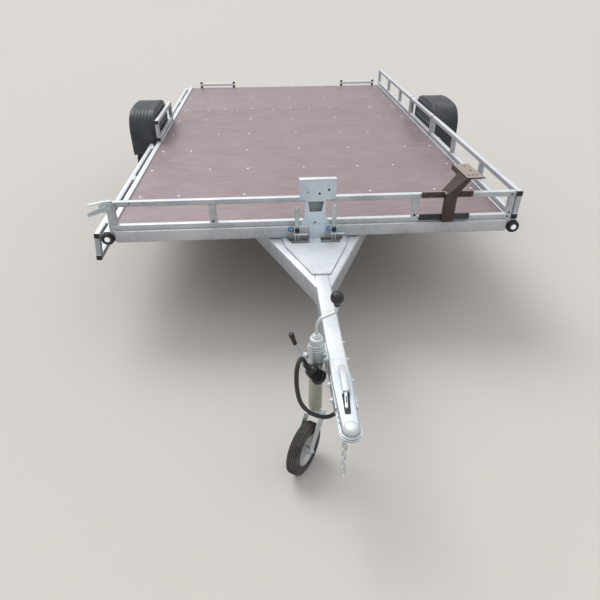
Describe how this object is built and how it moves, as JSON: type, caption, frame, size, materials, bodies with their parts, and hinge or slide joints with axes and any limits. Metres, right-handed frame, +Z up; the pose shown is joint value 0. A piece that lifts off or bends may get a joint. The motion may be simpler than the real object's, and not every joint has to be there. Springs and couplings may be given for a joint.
{
  "type": "atv trailer",
  "caption": "Galvanised flat-bed trailer with a low rail of folding side boards, tilting plywood deck, V drawbar, ball coupler, jockey wheel and mudguards.",
  "frame": {"origin": "on the ground, at the middle of the trailer's length and width", "axes": "+Y to the tail along the trailer's length, -Y to the coupler, +Z up"},
  "size_m": [2.31, 4.571, 0.791],
  "materials": {
    "galvanised_steel": "hot dip galvanised, spangled, satin",
    "bright_zinc": "bright zinc plating",
    "film_plywood": "brown film faced plywood, satin",
    "tyre_rubber": "matt rubber",
    "silver_rim": "silver paint",
    "cast_steel": "bare casting",
    "black_plastic": "moulded black plastic",
    "black_rubber": "black rubber",
    "lamp_white": "white lamp lens",
    "lamp_red": "red lamp lens",
    "brown_primer": "dark brown primer, chalky"
  },
  "bodies": {
    "chassis": {"drawbar_beam": "galvanised_steel", "drawbar_legs": "galvanised_steel", "gusset_plate": "galvanised_steel", "axle_beam": "galvanised_steel", "trailing_arms": "galvanised_steel", "mudguards": "black_plastic", "mudguard_brackets": "galvanised_steel", "coupler_body": "bright_zinc", "coupler_handle": "bright_zinc", "jockey_clamp": "bright_zinc", "jockey_tube": "bright_zinc", "jockey_crank": "bright_zinc", "plug": "black_plastic", "lead": "black_rubber", "safety_chain": "bright_zinc", "latch_catches": "galvanised_steel", "bed_rests": "black_rubber"},
    "bed": {"side_members": "galvanised_steel", "front_beam": "galvanised_steel", "rear_beam": "galvanised_steel", "cross_members": "galvanised_steel", "deck_panels": "film_plywood", "fixed_rail_tubes": "galvanised_steel", "fixed_rail_posts": "galvanised_steel", "winch_plate": "galvanised_steel", "bed_latches": "bright_zinc", "spare_wheel_bracket": "brown_primer", "corner_latch": "bright_zinc", "marker_rings": "black_rubber", "marker_lenses": "lamp_white", "hook_bars": "galvanised_steel", "rear_lamps": "lamp_red", "tilt_lugs": "galvanised_steel"},
    "wheel_left": {"tyre_left": "tyre_rubber", "rim_left": "silver_rim", "hub_left": "cast_steel"},
    "wheel_right": {"tyre_right": "tyre_rubber", "rim_right": "silver_rim", "hub_right": "cast_steel"},
    "jockey_leg": {"jockey_leg": "bright_zinc"},
    "jockey_fork": {"jockey_fork": "bright_zinc"},
    "jockey_wheel": {"jockey_rim": "silver_rim", "jockey_tyre": "tyre_rubber"},
    "board_front_left": {"board_front_left_tubes": "galvanised_steel", "board_front_left_posts": "galvanised_steel"},
    "board_rear_left": {"board_rear_left_tubes": "galvanised_steel", "board_rear_left_posts": "galvanised_steel"},
    "board_front_right": {"board_front_right_tubes": "galvanised_steel", "board_front_right_posts": "galvanised_steel"},
    "board_rear_right": {"board_rear_right_tubes": "galvanised_steel", "board_rear_right_posts": "galvanised_steel"}
  },
  "joints": [
    {"name": "bed_tilt", "type": "hinge", "parent": "chassis", "child": "bed", "pos_m": [0, 0.7725, 0.458], "axis": [-1, 0, 0], "range_deg": [0, 15]},
    {"name": "wheel_left_spin", "type": "hinge", "parent": "chassis", "child": "wheel_left", "pos_m": [-1.0675, 0.6525, 0.289], "axis": [-1, 0, 0], "continuous": true},
    {"name": "wheel_right_spin", "type": "hinge", "parent": "chassis", "child": "wheel_right", "pos_m": [1.0675, 0.6525, 0.289], "axis": [-1, 0, 0], "continuous": true},
    {"name": "jockey_height", "type": "slide", "parent": "chassis", "child": "jockey_leg", "axis": [0, 0, 1], "range_m": [-0.15, 0.015]},
    {"name": "jockey_swivel", "type": "hinge", "parent": "jockey_leg", "child": "jockey_fork", "pos_m": [-0.067, -1.9025, 0.215], "axis": [0, 0, 1], "continuous": true},
    {"name": "jockey_spin", "type": "hinge", "parent": "jockey_fork", "child": "jockey_wheel", "pos_m": [-0.11308, -1.97345, 0.1], "axis": [0.8387, -0.5446, 0], "continuous": true},
    {"name": "board_front_left_fold", "type": "hinge", "parent": "bed", "child": "board_front_left", "pos_m": [-0.981, -0.3575, 0.552], "axis": [0, -1, 0], "range_deg": [-173, 0]},
    {"name": "board_rear_left_fold", "type": "hinge", "parent": "bed", "child": "board_rear_left", "pos_m": [-0.981, 1.6425, 0.552], "axis": [0, -1, 0], "range_deg": [-173, 0]},
    {"name": "board_front_right_fold", "type": "hinge", "parent": "bed", "child": "board_front_right", "pos_m": [0.981, -0.3575, 0.552], "axis": [0, 1, 0], "range_deg": [0, 173]},
    {"name": "board_rear_right_fold", "type": "hinge", "parent": "bed", "child": "board_rear_right", "pos_m": [0.981, 1.6425, 0.552], "axis": [0, 1, 0], "range_deg": [0, 173]}
  ]
}
